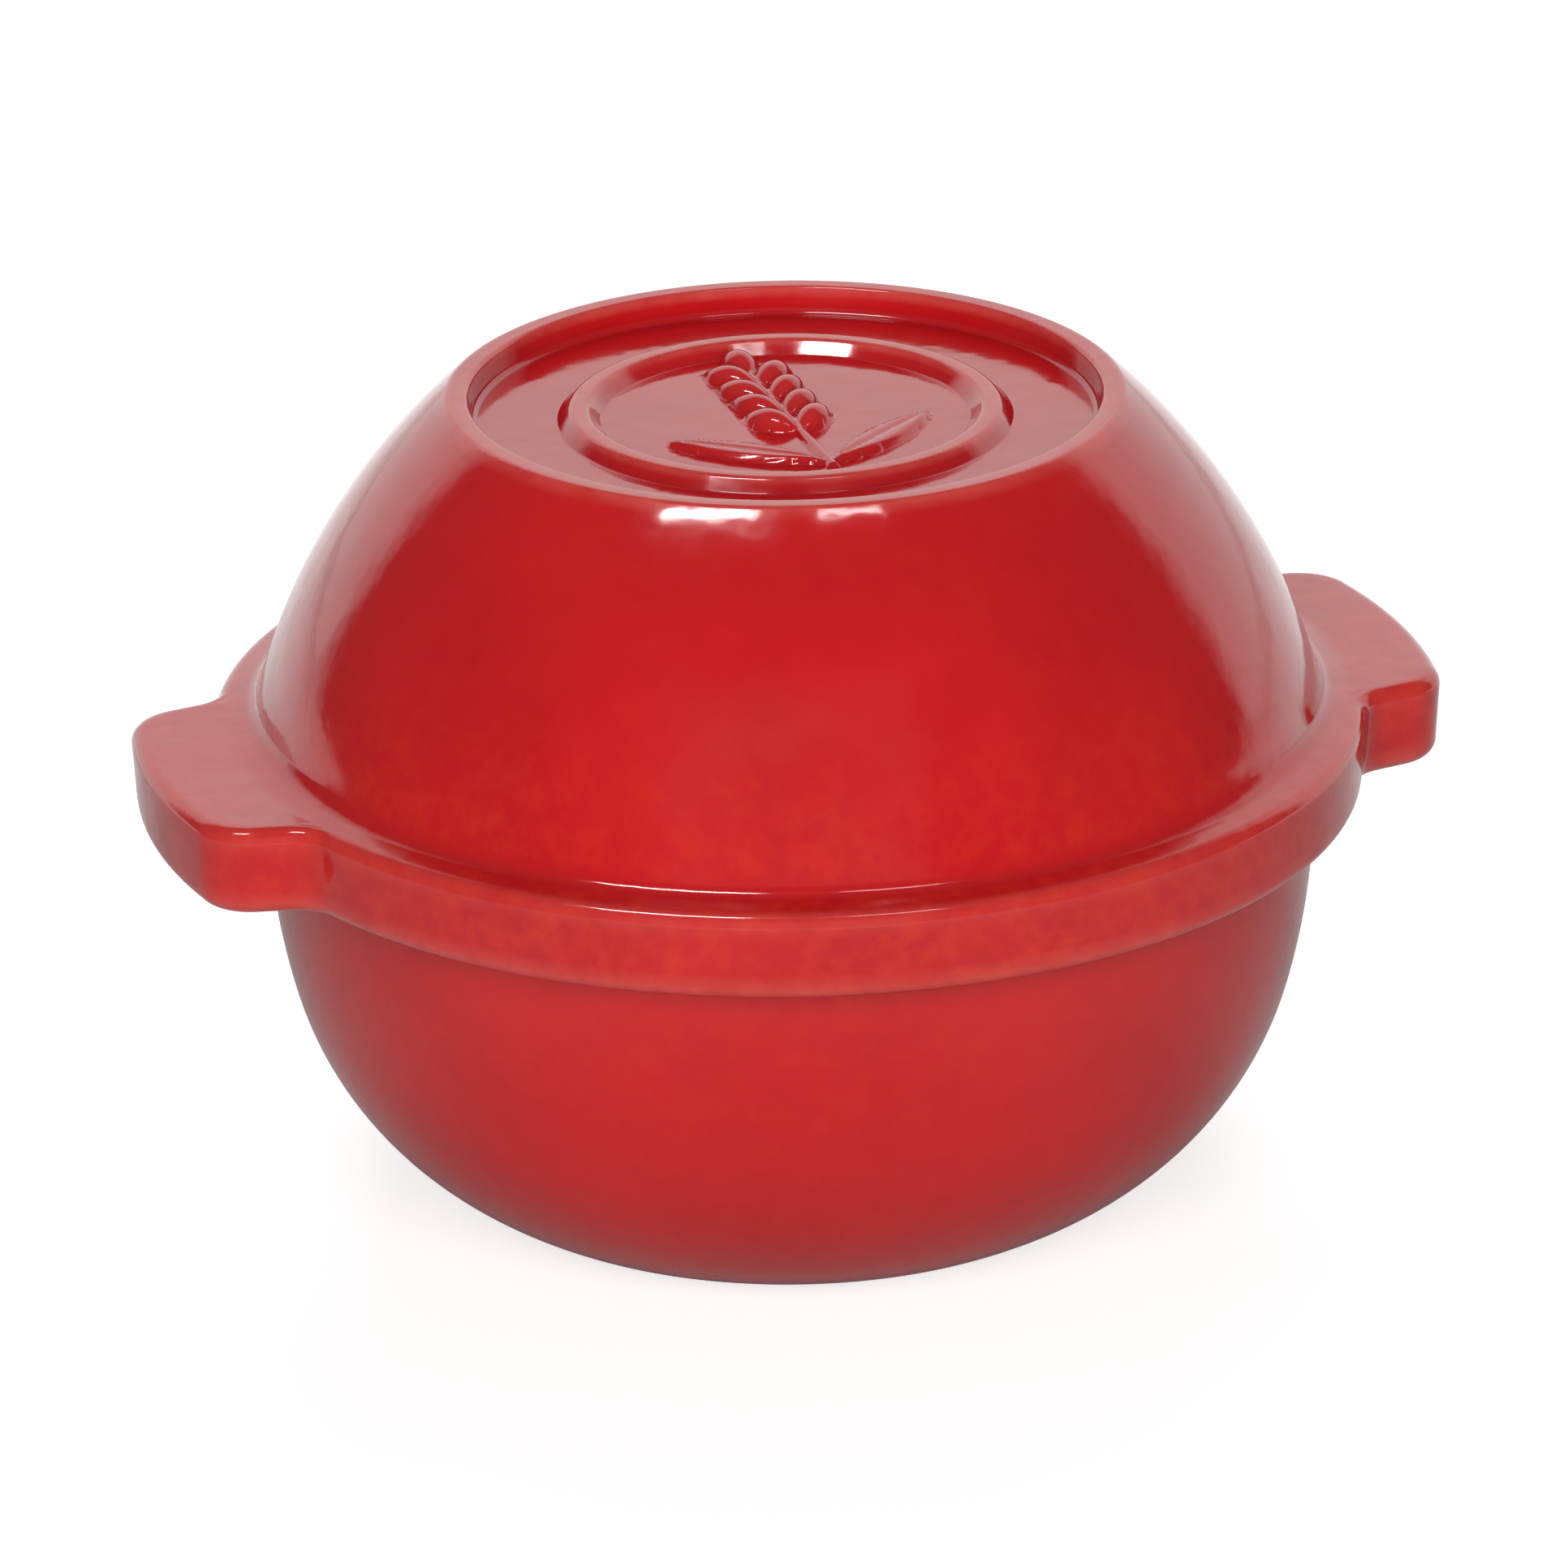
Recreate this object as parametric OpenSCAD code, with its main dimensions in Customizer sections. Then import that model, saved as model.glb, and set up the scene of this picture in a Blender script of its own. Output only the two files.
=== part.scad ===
// Covered pot for baking bread and potatoes: a deep round base bowl under a domed lid.
// The flat foot stands on z = 0, the centre of the foot is the origin, and the two
// handles of the lid point along +X and -X. The lid only rests on the rim of the bowl.

/* [Bowl] */
// Greatest outside width of the bowl
bowl_width = 209.4; // [207:0.2:211]
// Height of the rim that carries the lid
bowl_height = 90.5; // [88:0.5:94]
// Height at which the bowl is widest
bowl_widest_height = 78.2; // [72:0.2:82]
// Radius of the upper side, seen in section
bowl_side_curve = 132.9; // [110:0.1:160]
// Radius of the belly under the side
bowl_belly_curve = 67.1; // [60:0.1:72]
// Radius of the turn into the foot
foot_curve = 14; // [8:0.5:22]
// Width of the flat foot
foot_width = 120; // [104:0.5:126]
// Wall thickness of the bowl
bowl_wall = 7; // [5:0.25:8]
// Edge rounding of the rim, inside and outside
rim_rounding = 1.5; // [0.8:0.1:2.2]

/* [Lid wall] */
// Height of the lid above the lower edge of its band
lid_height = 82.9; // [80:0.1:86]
// Outside width of the dome at the height of the band's outer top edge
dome_width = 213.8; // [211:0.2:216]
// Radius of the dome wall, seen in section
dome_curve = 132.6; // [125:0.1:145]
// Wall thickness of the lid
lid_wall = 8; // [6:0.25:9]
// Width across the crest of the top ring
crest_width = 131.8; // [128:0.2:136]
// Outer edge rounding of the top ring
crest_rounding = 2.6; // [1.5:0.1:3.5]
// Rounding between the inside wall and the ceiling
ceiling_rounding = 12; // [8:0.5:16]
// Overlap of the lid's seat past the inner edge of the rim
seat_inset = 1; // [0.5:0.1:2]

/* [Band] */
// Outside width of the thick rim band
band_width = 230; // [227:0.5:234]
// Height of the outer face of the band
band_height = 18; // [15:0.25:20]
// How far the lower edge of the band steps in
band_draft = 1; // [0.4:0.1:2]
// Rise of the top of the band towards the dome, in degrees
band_slope = 12; // [6:0.5:18]
// Rounding of the upper outer edge
band_top_rounding = 3; // [1.5:0.1:4]
// Rounding of the lower outer edge
band_low_rounding = 3.4; // [1.5:0.1:4]
// Radius of the hollow between band and dome
dome_fillet = 3; // [1.5:0.1:4]
// Depth of the skirt that hangs below the rim of the bowl
skirt_depth = 8.5; // [6:0.25:10]
// Rounding of the inner lower edge of the skirt
skirt_rounding = 1.5; // [0.8:0.1:2]
// Clearance between the bowl and the skirt
seat_gap = 0.8; // [0.4:0.1:1.2]

/* [Top recess] */
// Width of the sunk round field on top
recess_width = 125.2; // [118:0.2:126]
// Depth of the field below the crest
recess_depth = 5.7; // [4:0.1:8]
// Rounding at the foot of the recess wall
recess_rounding = 1.5; // [0.8:0.1:2]
// Inner edge rounding of the top ring
crest_inner_rounding = 2; // [1:0.1:2.4]
// Outside width of the raised ring in the field
medallion_width = 90.1; // [84:0.2:96]
// Width of the open middle of the raised ring
medallion_opening = 72.8; // [68:0.2:76]
// Height of the raised ring
medallion_height = 2.8; // [1.5:0.1:3.6]
// Width of the flat crown of the raised ring
medallion_crown = 3.4; // [2:0.1:5]
// Edge rounding of the crown
medallion_rounding = 1.6; // [0.8:0.1:1.8]

/* [Handles] */
// Width over both handles
handle_span = 262.6; // [256:0.2:270]
// Width of one handle at its outer corners
handle_width = 71; // [64:0.5:76]
// Corner radius of the handle in plan
handle_corner = 12; // [10:0.5:14]
// Angle by which the handle widens towards the band
handle_flare = 11; // [6:0.5:15]
// Radius of the hollow where the handle leaves the band
handle_root = 8; // [6:0.5:12]

/* [Wheat relief] */
// Length of one grain
grain_length = 15; // [12:0.5:17]
// Width of one grain
grain_width = 7; // [5:0.25:8]
// Distance of the middle of a grain from the stem
grain_offset = 4.34; // [4:0.02:4.8]
// Lean of the grains away from the stem, in degrees
grain_lean = 34; // [26:1:40]
// Distance from one pair of grains to the next
grain_pitch = 9; // [8:0.25:10]
// Number of grain pairs
grain_pairs = 4; // [3:1:4]
// Place of the lowest pair, measured from the middle of the raised ring
ear_low = -4.5; // [-6:0.25:-3]
// Distance from the last pair to the grain at the tip
tip_pitch = 8.25; // [7:0.25:9]
// Thickness of the stem
stem_width = 2.6; // [1.6:0.1:3.2]
// Length of each leaf
leaf_length = 34; // [26:0.5:36]
// Width of each leaf
leaf_width = 7.5; // [5:0.25:9]
// Height of the leaves above the field
leaf_height = 1.6; // [0.8:0.1:2.2]
// Lean of the leaves away from the stem, in degrees
leaf_lean = 52; // [44:1:58]

/* [Hidden] */

// How far solids that are joined run into one another
sink = 0.4;
// Step by which joined parts of a handle nest in one another, too little to see
proud = 0.04;
// What the circles of the edge roundings are larger by, so that they cross the flat faces
swell = 0.006;
// Turn and shift that keep the ends of joined parts off one another's axes and faces
off_axis = 0.3;
// Further turn of a handle corner into the parts on both sides of it, in degrees
overrun = 12;
// How far a cut reaches past the face that it opens
margin = 1;
// A length beyond the object
beyond = 200;
// Facets around the pot, along the long arcs, around corners, edges, grains and leaves
round_fn = 48;
arc_fn = 60;
corner_fn = 30;
edge_fn = 14;
grain_fn = 20;
leaf_fn = 120;

band_low = bowl_height - skirt_depth;
crest_z = band_low + lid_height;
field_z = crest_z - recess_depth;
band_top = band_low + band_height;

// Bowl section: centres of the side, foot and belly arcs, each arc tangent to the next
side_centre = [bowl_width / 2 - bowl_side_curve, bowl_widest_height];
foot_centre = [foot_width / 2, foot_curve];
belly_centre = meet(side_centre, bowl_side_curve - bowl_belly_curve,
                    foot_centre, bowl_belly_curve - foot_curve);
side_low = touch(side_centre, belly_centre, bowl_side_curve);
belly_low = touch(belly_centre, foot_centre, bowl_belly_curve);

// Lid section: centre of the dome arc, tangent to the crest rounding
crest_centre = [crest_width / 2, crest_z - crest_rounding];
dome_foot = [dome_width / 2, band_top];
dome_centre = meet(dome_foot, dome_curve, crest_centre, dome_curve - crest_rounding);
dome_top = touch(dome_centre, crest_centre, dome_curve);

// Hollow between the sloped top of the band and the dome
slope_in = [-cos(band_slope), sin(band_slope)];
slope_up = [sin(band_slope), cos(band_slope)];
edge_lean = atan2(band_draft, band_height);
shoulder_centre = [band_width / 2 - band_top_rounding * tan((90 + edge_lean) / 2),
                   band_top - band_top_rounding];
shoulder = shoulder_centre + band_top_rounding * slope_up;
fillet_centre = reach_arc(shoulder + dome_fillet * slope_up, slope_in,
                          dome_centre, dome_curve + dome_fillet);
fillet_on_band = fillet_centre - dome_fillet * slope_up;
fillet_on_dome = touch(dome_centre, fillet_centre, dome_curve);

// Inside of the lid
seat_radius = bowl_width / 2 + seat_gap;
rim_inner_radius = side_centre.x
    + sqrt(pow(bowl_side_curve - bowl_wall, 2) - pow(bowl_height - bowl_widest_height, 2));
seat_inner = [rim_inner_radius + seat_inset, bowl_height];
ceiling_z = field_z - lid_wall;
hollow_curve = dome_curve - lid_wall;
ceiling_centre = on_arc(dome_centre, hollow_curve - ceiling_rounding, ceiling_z - ceiling_rounding);
hollow_centre = meet(seat_inner, hollow_curve, ceiling_centre, hollow_curve - ceiling_rounding);
hollow_top = touch(hollow_centre, ceiling_centre, hollow_curve);

// Handle plan: corner centre, side line and hollow root, for the corner on the +Y side
handle_reach = handle_span / 2;
corner_y = handle_width / 2 - handle_corner * cos(handle_flare);
corner_angle = asin(corner_y / (handle_reach - handle_corner));
corner_centre = [(handle_reach - handle_corner) * cos(corner_angle), corner_y];
side_out = [sin(handle_flare), cos(handle_flare)];
side_in = [-cos(handle_flare), sin(handle_flare)];
side_start = corner_centre + handle_corner * side_out;
root_centre = reach_arc(side_start + (handle_root + proud) * side_out, side_in, [0, 0],
                        band_width / 2 + handle_root + proud);
side_length = (root_centre - side_start) * side_in;
root_angle = atan2(root_centre.y, root_centre.x);

// Core of a handle: its depth into the band, its cover of the corners and its inset from the sides
root_depth = 8;
core_depth = 7.5;
core_cover = 4;
core_inset = 6.5;
core_step = 5 * proud;
core_start = band_width / 2 - core_depth;
core_end = handle_reach - handle_corner + core_cover;
core_side = side_start + side_length * side_in - core_inset * side_out;
core_angle = atan2(core_side.y, core_side.x);

// One of the two points where two circles meet, to the left of the way from p to q
function meet(p, rp, q, rq) =
    let (gap = norm(q - p), along = (rp * rp - rq * rq + gap * gap) / (2 * gap), way = (q - p) / gap)
    p + along * way + sqrt(rp * rp - along * along) * [-way.y, way.x];

// Where the circle round a is touched by the circle round b
function touch(a, b, ra) = a + (b - a) * ra / norm(b - a);

// Where a line from p first reaches the circle round c
function reach_arc(p, way, c, r) =
    let (b = way * (p - c), k = (p - c) * (p - c) - r * r) p - (b + sqrt(b * b - k)) * way;

// Point at height z on the outer side of the circle round c
function on_arc(c, r, z) = [c.x + sqrt(r * r - pow(z - c.y, 2)), z];

// Round solid slice of a section: everything from the axis out to an arc, between two heights
module slab(centre, radius, low, high, fn) {
    intersection() {
        translate([0, low]) square([beyond, high - low]);
        union() {
            translate(centre) circle(r = radius, $fn = fn);
            if (centre.x > 0) {
                translate([0, low]) square([centre.x, high - low]);
            }
        }
    }
}

// Section of the bowl's outside, or of its inside when inset by the wall
module bowl_section(inset, top) {
    foot_top = belly_low.y + inset * drop(belly_centre, foot_centre);
    belly_top = side_low.y + inset * drop(side_centre, belly_centre);
    slab(foot_centre, foot_curve - inset, inset, foot_top, edge_fn);
    slab(belly_centre, bowl_belly_curve - inset, foot_top, belly_top, arc_fn);
    slab(side_centre, bowl_side_curve - inset, belly_top, top, arc_fn);
}

// Rise of an arc's end when the arc is inset by one millimetre
function drop(a, b) = (a.y - b.y) / norm(a - b);

// What a rounded edge takes off a square corner at p, with the solid towards [sx, sy]
module edge_cut(p, r, sx, sy) {
    difference() {
        translate([p.x + (sx > 0 ? -margin : -r), p.y + (sy > 0 ? -margin : -r)]) square(r + margin);
        translate([p.x + sx * r, p.y + sy * r]) circle(r = r, $fn = edge_fn);
    }
}

// Round-bottomed bowl with a rounded rim
module base_bowl() {
    rim_outer = on_arc(side_centre, bowl_side_curve, bowl_height);
    color([0.76, 0.12, 0.14])
    rotate_extrude($fn = round_fn)
        difference() {
            bowl_section(0, bowl_height);
            bowl_section(bowl_wall, bowl_height + margin);
            edge_cut([rim_inner_radius, bowl_height], rim_rounding, 1, -1);
            edge_cut(rim_outer, rim_rounding, -1, -1);
        }
}

// Outer edge of the band and of the handles in section, from the edge inwards.
// The inset lowers its top and lifts its underside a little.
module edge_profile(depth, inset) {
    low_turn = band_low_rounding * tan((90 - edge_lean) / 2);
    top_turn = band_top_rounding * tan((90 + edge_lean) / 2);
    low = band_low + inset;
    top = band_top - inset;
    upward = [sin(edge_lean), cos(edge_lean)];
    low_flat = [-band_draft - low_turn, low];
    low_wall = [-band_draft, low] + low_turn * upward;
    top_wall = [0, top] - top_turn * upward;
    top_flat = [-top_turn, top];
    polygon([[-depth, low], low_flat, low_wall, top_wall, top_flat, [-depth, top]]);
    translate(low_flat + [0, band_low_rounding]) circle(r = band_low_rounding + swell, $fn = 2 * edge_fn);
    translate(top_flat - [0, band_top_rounding]) circle(r = band_top_rounding + swell, $fn = 2 * edge_fn);
}

// Outside of the dome, the top ring and the band, as a solid round section
module lid_outside() {
    slab(dome_centre, dome_curve, band_low + band_low_rounding, dome_top.y, arc_fn);
    slab(crest_centre, crest_rounding, crest_centre.y, crest_z, edge_fn);
    translate([band_width / 2, 0]) edge_profile(band_width / 2, 0);
    difference() {
        polygon([shoulder, fillet_on_band, fillet_on_dome, fillet_on_dome - [dome_fillet, 0],
                 [fillet_on_dome.x - dome_fillet, shoulder_centre.y], shoulder_centre]);
        translate(fillet_centre) circle(r = dome_fillet, $fn = edge_fn);
    }
}

// Sunk field on top with its rounded foot and lip
module recess_section() {
    radius = recess_width / 2;
    slab([radius - recess_rounding, field_z + recess_rounding], recess_rounding,
         field_z, field_z + recess_rounding, edge_fn);
    translate([0, field_z + recess_rounding]) square([radius, recess_depth]);
    edge_cut([radius, crest_z], crest_inner_rounding, 1, -1);
}

// Hollow of the lid and the seat over the rim of the bowl
module lid_hollow() {
    slab(hollow_centre, hollow_curve, bowl_height - margin, hollow_top.y, arc_fn);
    slab(ceiling_centre, ceiling_rounding, ceiling_centre.y, ceiling_z, corner_fn);
    translate([0, band_low - margin]) square([seat_radius, skirt_depth + margin]);
    edge_cut([seat_radius, band_low], skirt_rounding, 1, 1);
}

// Raised ring with sloped sides and a rounded crown
module medallion_section() {
    inner = medallion_opening / 2;
    outer = medallion_width / 2;
    middle = (inner + outer) / 2;
    top = field_z + medallion_height;
    half = medallion_crown / 2;
    difference() {
        polygon([[inner, field_z - sink], [inner, field_z], [middle - half, top], [middle + half, top],
                 [outer, field_z], [outer, field_z - sink]]);
        crown_cut(middle + half, top, outer - middle - half);
        mirror_about(middle) crown_cut(middle + half, top, outer - middle - half);
    }
}

// What the rounding takes off the outer edge of the raised ring's crown
module crown_cut(x, top, run) {
    slope = atan2(medallion_height, run);
    turn = medallion_rounding * tan(slope / 2);
    end = [x + turn * cos(slope), top - turn * sin(slope)];
    difference() {
        polygon([[x - turn, top], [x - turn, top + margin], [x + turn + margin, top + margin], end]);
        translate([x - turn, top - medallion_rounding]) circle(r = medallion_rounding, $fn = corner_fn);
    }
}

module mirror_about(x) {
    translate([x, 0]) mirror([1, 0]) translate([-x, 0]) children();
}

// Part of a turned ring about the pot's axis, as wide to one side of +X as to the other
module ring_part(half_angle) {
    rotate([0, 0, -half_angle]) rotate_extrude(angle = 2 * half_angle, $fn = round_fn) children();
}

// Corner, side and hollow root of a handle on its +Y side, each a step further in than the last
module handle_flank() {
    translate([corner_centre.x, corner_centre.y, 0])
        rotate([0, 0, corner_angle - overrun])
        rotate_extrude(angle = 90 - handle_flare - corner_angle + 2 * overrun, $fn = corner_fn)
        intersection() {
            translate([handle_corner - proud, 0]) edge_profile(handle_corner + margin, 4 * proud);
            translate([0, band_low]) square([handle_corner, band_height]);
        }
    translate([side_start.x, side_start.y, 0])
        rotate([0, 0, 90 - handle_flare])
        rotate([90, 0, 180])
        translate([0, 0, off_axis])
        linear_extrude(side_length)
        mirror([1, 0])
        edge_profile(handle_corner, 2 * proud);
    translate([root_centre.x, root_centre.y, 0])
        rotate([0, 0, root_angle - 180])
        rotate_extrude(angle = 90 - handle_flare - root_angle, $fn = corner_fn)
        translate([handle_root, 0])
        mirror([1, 0])
        edge_profile(root_depth, 3 * proud);
}

// Outer arc and flat core, with the flank on both sides
module handle() {
    ring_part(corner_angle - off_axis)
        translate([handle_reach, 0]) edge_profile(handle_reach - core_start, proud);
    ring_part(core_angle)
        translate([core_start, band_low + core_step])
        square([core_end - core_start, band_height - 2 * core_step]);
    handle_flank();
    mirror([0, 1, 0]) handle_flank();
}

// Grain with pointed ends, lying along Y
module grain() {
    flank = (grain_length * grain_length / grain_width + grain_width) / 4;
    rotate([90, 0, 0]) rotate_extrude($fn = edge_fn)
        intersection() {
            translate([grain_width / 2 - flank, 0]) circle(r = flank, $fn = grain_fn);
            translate([0, -grain_length]) square([grain_width, 2 * grain_length]);
        }
}

// Flat pointed leaf that starts at the origin and points along +Y
module leaf() {
    flank = (leaf_length * leaf_length / leaf_width + leaf_width) / 4;
    translate([0, 0, -sink]) linear_extrude(leaf_height + sink)
        intersection() {
            translate([leaf_width / 2 - flank, leaf_length / 2]) circle(r = flank, $fn = leaf_fn);
            translate([flank - leaf_width / 2, leaf_length / 2]) circle(r = flank, $fn = leaf_fn);
        }
}

// Ear of wheat standing along +Y inside the raised ring
module wheat() {
    tip = ear_low + (grain_pairs - 1) * grain_pitch + tip_pitch;
    leaf_low = grain_width - medallion_opening / 2;
    stem_low = leaf_low - stem_width;
    for (side = [-1, 1]) {
        for (i = [0 : grain_pairs - 1]) {
            translate([side * grain_offset, ear_low + i * grain_pitch, 0])
                rotate([0, 0, -side * grain_lean])
                grain();
        }
        translate([side * stem_width / 4, leaf_low, 0])
            rotate([0, 0, -side * leaf_lean])
            leaf();
    }
    translate([0, tip, 0]) grain();
    translate([0, stem_low, 0])
        rotate([-90, 0, 0])
        cylinder(h = tip - sink - stem_low, d = stem_width, $fn = edge_fn);
}

// Lid in one piece: dome, top ring, band, handles and relief
module lid() {
    color([0.76, 0.12, 0.14])
    union() {
        rotate_extrude($fn = round_fn)
            difference() {
                lid_outside();
                lid_hollow();
                recess_section();
            }
        rotate_extrude($fn = round_fn) medallion_section();
        handle();
        rotate([0, 0, 180]) handle();
        translate([0, 0, field_z]) wheat();
    }
}

base_bowl();
lid();
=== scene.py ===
import math

import bpy
from mathutils import Matrix, Vector


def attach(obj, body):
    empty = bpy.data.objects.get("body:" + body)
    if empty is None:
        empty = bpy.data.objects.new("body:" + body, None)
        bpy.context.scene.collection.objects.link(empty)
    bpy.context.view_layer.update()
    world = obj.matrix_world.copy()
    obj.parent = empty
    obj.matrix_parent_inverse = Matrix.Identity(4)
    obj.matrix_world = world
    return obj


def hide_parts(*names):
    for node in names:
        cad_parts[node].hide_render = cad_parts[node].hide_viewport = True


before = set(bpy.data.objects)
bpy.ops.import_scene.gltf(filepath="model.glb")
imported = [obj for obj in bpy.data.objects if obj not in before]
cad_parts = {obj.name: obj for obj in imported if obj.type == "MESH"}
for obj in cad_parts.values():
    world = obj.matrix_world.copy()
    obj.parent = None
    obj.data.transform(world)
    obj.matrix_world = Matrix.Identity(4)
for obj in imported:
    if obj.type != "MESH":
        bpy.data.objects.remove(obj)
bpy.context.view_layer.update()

MM = 0.001

# Heights of the pot, in millimetres above the table
BAND_LOW = 82.0
BAND_TOP = 100.0
RIM = 90.5
CREST = 164.9
FIELD = 159.2
CEILING = 151.2

# Dome of the lid: an arc in section
DOME_CENTRE = Vector((-21.5, 66.0))
DOME_CURVE = 132.6
LID_WALL = 8.0
CREST_ROUNDING = 1.8

# Recess on top and the raised ring on its floor
RECESS_RADIUS = 62.6
RECESS_DRAFT = 0.5
RECESS_FOOT = 1.5
LIP_ROUNDING = 1.0
RING_INNER = 36.4
RING_OUTER = 45.05
RING_HEIGHT = 2.8
RING_CROWN = 3.4
RING_ROUNDING = 1.6
RING_FOOT = 0.7

# Rim band and handles
BAND_RADIUS = 114.99
BAND_SLOPE = math.radians(12)
EDGE_LEAN = math.radians(3.18)
TOP_ROUNDING = 3.0
TOP_DEPTH = 3.17
LOW_ROUNDING = 3.4
LOW_DEPTH = 4.216
FILLET = 4.2
HANDLE_REACH = 131.25
CORNER = 12.0
CORNER_CENTRE = Vector((116.92, 23.72))
HANDLE_FLARE = math.radians(11)
ROOT = 8.0

# Inside of the lid
SKIRT_RADIUS = 105.5
SKIRT_ROUNDING = 1.5
SEAT_INNER = Vector((98.1, 90.5))
CEILING_CENTRE = Vector((64.2, 139.2))
CEILING_ROUNDING = 12.0

# Bowl: three arcs in section, each tangent to the next
SIDE_CENTRE = Vector((-28.2, 78.2))
SIDE_CURVE = 132.9
BELLY_CENTRE = Vector((35.316, 61.014))
BELLY_CURVE = 67.1
FOOT_CENTRE = Vector((60.0, 14.0))
FOOT_CURVE = 14.0
BOWL_WALL = 7.0
RIM_ROUNDING = 1.5

# Ear of wheat on the recess floor
GRAIN_LENGTH = 15.0
GRAIN_WIDTH = 7.0
GRAIN_LEAN = math.radians(34)
GRAIN_PITCH = 9.0
GRAIN_PAIRS = 4
STEM_WIDTH = 2.6
LEAF_LENGTH = 34.0
LEAF_WIDTH = 7.5
LEAF_HEIGHT = 1.6
LEAF_LEAN = math.radians(52)
# Where grains, tip and stem stand, soft edge and fold of a leaf, and how sharply the forms meet
GRAIN_OFFSET = GRAIN_WIDTH * 0.62
EAR_RISE = GRAIN_LENGTH * 0.3
TIP_RISE = GRAIN_LENGTH * 0.25
STEM_LOW = GRAIN_WIDTH - RING_INNER
STEM_TOP = (GRAIN_PAIRS - 2) * GRAIN_PITCH + GRAIN_LENGTH
LEAF_EDGE = 0.9
FOLD_DEPTH = 0.35
FOLD_WIDTH = 0.45
MELT = 6

# Columns round the lid in each quarter: handle end, corner, side, root and band
COLUMNS = (14, 16, 6, 10, 74)
BOWL_COLUMNS = 288
# Rings of points on the relief, and steps along each arc or straight of the lid's section
RELIEF_RINGS = 60
RING_STEPS = 5
CREST_STEPS = 7
DOME_STEPS = 26
FILLET_STEPS = 7
NEAR_STEPS = 5
FAR_STEPS = 4
EDGE_STEPS = 9
FACE_STEPS = 4
UNDERSIDE_STEPS = 3
SKIRT_STEPS = 4
HOLLOW_STEPS = 10
CEILING_STEPS = 6
# Steps along each arc of the bowl, outside and inside
RIM_STEPS = 5
FOOT_STEPS = (8, 6)
BELLY_STEPS = (26, 14)
SIDE_STEPS = (20, 12)
# Radii of the extra rings on flat faces, and how far flat faces run on beside the curves
CEILING_RINGS = (40, 16)
UNDERSIDE_RINGS = (18, 40, 54)
BASE_RINGS = (40, 18)
RELIEF_MARGIN = 1.2
RING_MARGIN = 0.9
FIELD_MARGIN = 3
CREST_MARGIN = 0.4
SEAT_MARGIN = 2
# Share and greatest length of the finer rows on top of the band, beside the dome
NEAR_SHARE = 0.55
NEAR_REACH = 5.0
# Softness of the line where the slope meets the level top of a handle, and a cap for its exponent
SOFT_LINE = 0.12
STEEPEST = 60

# Distance over which a bend of the surface counts as an edge or a crease, and the cut-off in such distances
EDGE_REACH = 0.9
EDGE_LIMIT = 4
# Bend that counts in full, what edges between the band's foot and the field keep of it, and the relief's most
FULL_EDGE = 0.28
UPPER_EDGE = 0.45
RELIEF_EDGE = 0.3
UPPER_MARGIN = 1

# Glaze colours: as it lies on the walls, darker red (slow clouds, and creases), thinner and warmer, and pale
# pink on edges, partly thinner glaze and partly a painted reflection
RED = (0.53, 0.0095, 0.0130, 1)
DEEP_RED = (0.47, 0.0070, 0.0110, 1)
WARM_RED = (0.58, 0.0240, 0.0090, 1)
# Pale pink on edges and relief tops: partly thinner glaze, partly a painted reflection
THIN_AND_REFLECTION_RED = (0.60, 0.0750, 0.0620, 1)
# Noises of the glaze: scale, detail and roughness
CLOUDS = (24, 3.0, 0.55)
FLECKS = (190, 5.0, 0.66)
THIN_AND_REFLECTION_SPOTS = (130, 3.0, 0.6)
SHEEN = (60, 3.0, 0.6)
RIPPLE = (85, 2.0, 0.5)
PEEL = (620, 2.0, 0.5)
# Ranges that turn noise, height in metres or edge value into a share or a roughness
CLOUD_RANGE = (0.34, 0.66)
FLECK_RANGE = (0.42, 0.70)
WARM_ABOVE = (0.098, 0.130, 0.80, 0.12)
WARM_BELOW = (0.076, 0.084, 0.25, 1.0)
CREASE_RANGE = (-0.8, -0.1, 0.7, 0.0)
THIN_AND_REFLECTION_SPOT_RANGE = (0.3, 0.7, 0.45, 1.0)
THIN_AND_REFLECTION_RANGE = (0.08, 0.9, 0.0, 0.85)
ROUGHNESS_RANGE = (0.3, 0.7, 0.07, 0.13)
GLAZE_IOR = 1.6
# Strength and depth in metres of the slow waves and of the fine skin
RIPPLE_BUMP = (0.35, 0.0005)
PEEL_BUMP = (0.12, 0.00006)

# Studio, in metres and in the photograph's frame (x right, y away, z up), which is turned against the pot
TURN = math.radians(-17.1)
POT = (0, 0, 0.09)
FLOOR_REACH = 6.0
FLOOR_DROP = 0.0002
PAPER = (0.52, 0.52, 0.52, 1)
PAPER_ROUGHNESS = 0.9
# Glow of the floor for the camera, and the distance behind the pot over which mirrored rays get it too
FLOOR_LIFT = 0.72
MIRRORED_RANGE = (0.10, 0.45)
# Level of the room in front, and of the wall behind when it lights surfaces and when it is mirrored
FRONT_GREY = 0.12
BACK_LIGHT = 0.40
BACK_WHITE = 1.45
WALL_SIDE = (0.1045, 0.9945, 0)
WALL_RANGE = (0.47, 0.59)
WALL_TOP_RANGE = (0.58, 0.78, 1.0, 0.0)

# Camera of the photograph: angles, lens and place
CAMERA_PITCH = math.radians(21.757)
CAMERA_YAW = -0.000675
CAMERA_ROLL = -0.013224
CAMERA_SENSOR = 36
CAMERA_LENS = 228.11
CAMERA_CLIP = (0.05, 50)
CAMERA_PLACE = Vector((0, -1.84692, 0.73631 + BAND_LOW * MM))


def polar(centre, radius, angle):
    """The point on a circle at an angle in degrees."""
    a = math.radians(angle)
    return centre + radius * Vector((math.cos(a), math.sin(a)))


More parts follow.
